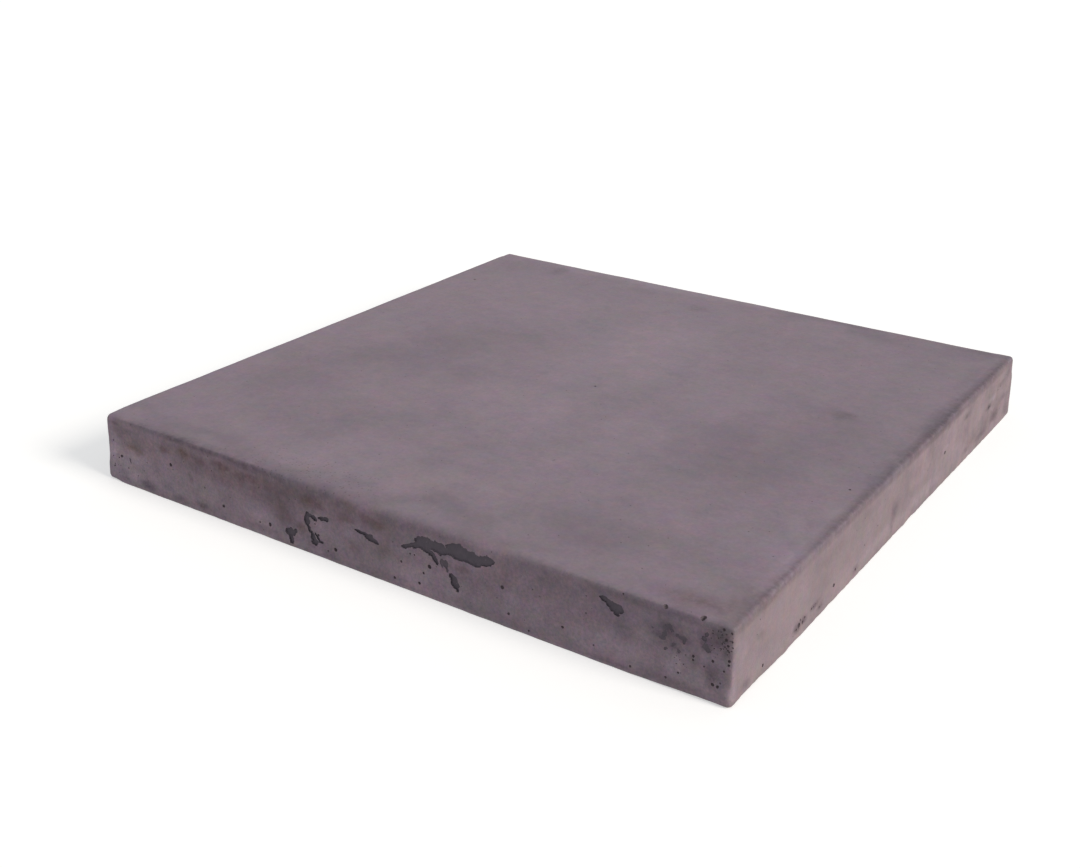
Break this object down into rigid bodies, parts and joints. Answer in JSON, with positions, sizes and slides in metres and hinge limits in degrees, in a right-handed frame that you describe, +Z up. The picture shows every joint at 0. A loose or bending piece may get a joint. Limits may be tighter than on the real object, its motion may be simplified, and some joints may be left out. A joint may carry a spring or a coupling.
{
  "type": "limestone paver",
  "caption": "Square cast limestone paving slab with softened arrises, drafted sides, shallow air pockets and pinholes, laid flat as a paving unit.",
  "frame": {"origin": "centre of the underside, on the bedding plane", "axes": "+Z up, out of the wearing face; +X along the front side from the left corner to the near corner; +Y along the right side, away from the near corner"},
  "size_m": [0.4998, 0.4998, 0.05],
  "materials": {
    "cast_limestone": "honed matt mauve-grey face, stained and pitted sides"
  },
  "bodies": {
    "root": {"paver": "cast_limestone"}
  },
  "joints": []
}
